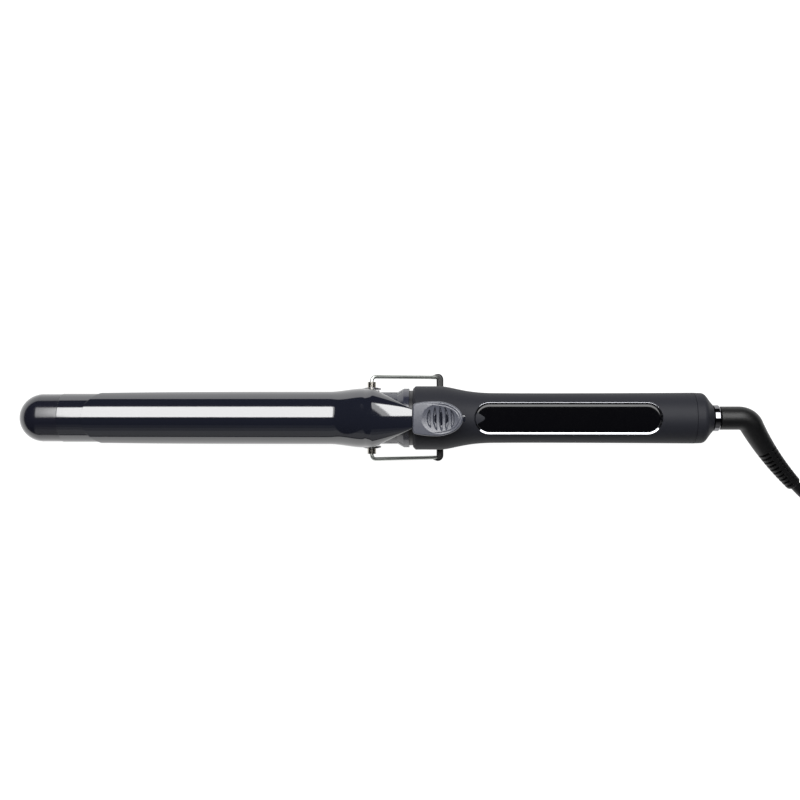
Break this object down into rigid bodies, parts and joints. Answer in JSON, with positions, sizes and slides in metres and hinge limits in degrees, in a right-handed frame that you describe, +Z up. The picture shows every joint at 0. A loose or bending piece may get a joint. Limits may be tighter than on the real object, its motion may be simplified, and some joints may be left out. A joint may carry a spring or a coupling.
{
  "type": "curling iron",
  "caption": "Hair curling iron with a spring clamp, cool tip, folding wire stand, windowed handle and a swivel mains cord.",
  "frame": {"origin": "on the table surface, under the middle of the iron without its cord, boot and plug", "axes": "+X from the cool tip towards the cord end, +Z up from the table; the barrel axis leans 2.22 degrees up towards +X, because the iron rests on its cool tip and on the folded stand"},
  "size_m": [0.574, 0.0883, 0.049],
  "materials": {
    "tip_plastic": "satin moulded PPS",
    "barrel_coating": "glossy ceramic coating on aluminium",
    "clamp_coating": "glossy ceramic coating on stamped steel",
    "mica_board": "pressed mica",
    "aluminium_extrusion": "extruded",
    "ptc_ceramic": "fired ceramic",
    "brass_strip": "rolled strip",
    "polyimide_film": "clear amber film",
    "sensor_glass": "sleeved bead",
    "fuse_metal": "drawn case",
    "bush_plastic": "glass filled, matt",
    "bracket_coating": "glossy coating on stamped steel",
    "bush_chrome": "polished nickel-chrome plate",
    "washer_steel": "stamped",
    "spring_steel": "drawn wire",
    "lever_plastic": "satin moulded",
    "screw_steel": "zinc plated",
    "handle_soft_touch": "soft-touch paint on moulded shell",
    "bezel_chrome": "chrome plated plastic",
    "lens_acrylic": "tinted moulded acrylic",
    "board_laminate": "glass epoxy with solder mask",
    "display_plastic": "moulded module",
    "component_black": "moulded epoxy",
    "capacitor_film": "dipped case",
    "capacitor_sleeve": "shrink sleeve",
    "resistor_coat": "cement coat",
    "fuse_glass": "glass tube",
    "connector_nylon": "moulded nylon",
    "lead_silicone": "silicone sleeve",
    "cap_plastic": "satin moulded",
    "holder_nylon": "moulded nylon",
    "brush_copper": "sintered block",
    "stand_wire_chrome": "bright plated wire",
    "foot_plastic": "moulded, heat resistant",
    "core_acetal": "turned acetal",
    "collar_chrome": "polished plate",
    "boot_pvc": "moulded PVC",
    "cord_pvc": "extruded PVC sheath",
    "tie_plastic": "strap",
    "plug_pvc": "moulded PVC",
    "pin_nickel": "nickel plated brass"
  },
  "bodies": {
    "iron": {"cool_tip": "tip_plastic", "barrel": "barrel_coating", "heat_shield": "mica_board", "spreader_upper": "aluminium_extrusion", "spreader_lower": "aluminium_extrusion", "ptc_stones": "ptc_ceramic", "electrode_upper": "brass_strip", "electrode_lower": "brass_strip", "insulating_films": "polyimide_film", "thermistor": "sensor_glass", "thermal_fuse": "fuse_metal", "base_bush": "bush_plastic", "hinge_bracket": "bracket_coating", "pivot_bushes": "bush_chrome", "pivot_washers": "washer_steel", "spring_seat": "washer_steel", "clamp_spring": "spring_steel", "handle_upper": "handle_soft_touch", "handle_lower": "handle_soft_touch", "handle_screws": "screw_steel", "window_bezel": "bezel_chrome", "display_lens": "lens_acrylic", "control_board": "board_laminate", "display_module": "display_plastic", "controller_chip": "component_black", "touch_springs": "spring_steel", "triac": "component_black", "filter_capacitor": "capacitor_film", "reservoir_capacitor": "capacitor_sleeve", "dropper_resistor": "resistor_coat", "board_fuse": "fuse_glass", "lead_connector": "connector_nylon", "heater_leads": "lead_silicone", "sensor_leads": "lead_silicone", "end_cap": "cap_plastic", "brush_holder": "holder_nylon", "brushes": "brush_copper", "mains_leads": "lead_silicone"},
    "clamp": {"clamp_plate": "clamp_coating", "lever_pad": "lever_plastic", "lever_screw": "screw_steel"},
    "stand": {"stand_wire": "stand_wire_chrome", "stand_foot": "foot_plastic"},
    "swivel": {"swivel_core": "core_acetal", "swivel_collar": "collar_chrome", "slip_rings": "brass_strip", "retaining_clip": "spring_steel", "cord_boot": "boot_pvc", "cord_lead": "cord_pvc", "cord_hank": "cord_pvc", "cord_tie": "tie_plastic", "cord_tail": "cord_pvc", "plug_body": "plug_pvc", "plug_pins": "pin_nickel"}
  },
  "joints": [
    {"name": "clamp_hinge", "type": "hinge", "parent": "iron", "child": "clamp", "pos_m": [-0.00006, 0, 0.01889], "axis": [0, 1, 0], "range_deg": [0, 11], "stiffness_Nm_per_rad": 0.8, "springref_deg": -21.77, "deforming": ["clamp_spring"]},
    {"name": "stand_hinge", "type": "hinge", "parent": "iron", "child": "stand", "pos_m": [-0.00006, 0, 0.01889], "axis": [0, 1, 0], "range_deg": [0, 105]},
    {"name": "cord_swivel", "type": "hinge", "parent": "iron", "child": "swivel", "pos_m": [0.17201, 0, 0.02557], "axis": [0.9992, 0, 0.0388], "continuous": true}
  ]
}
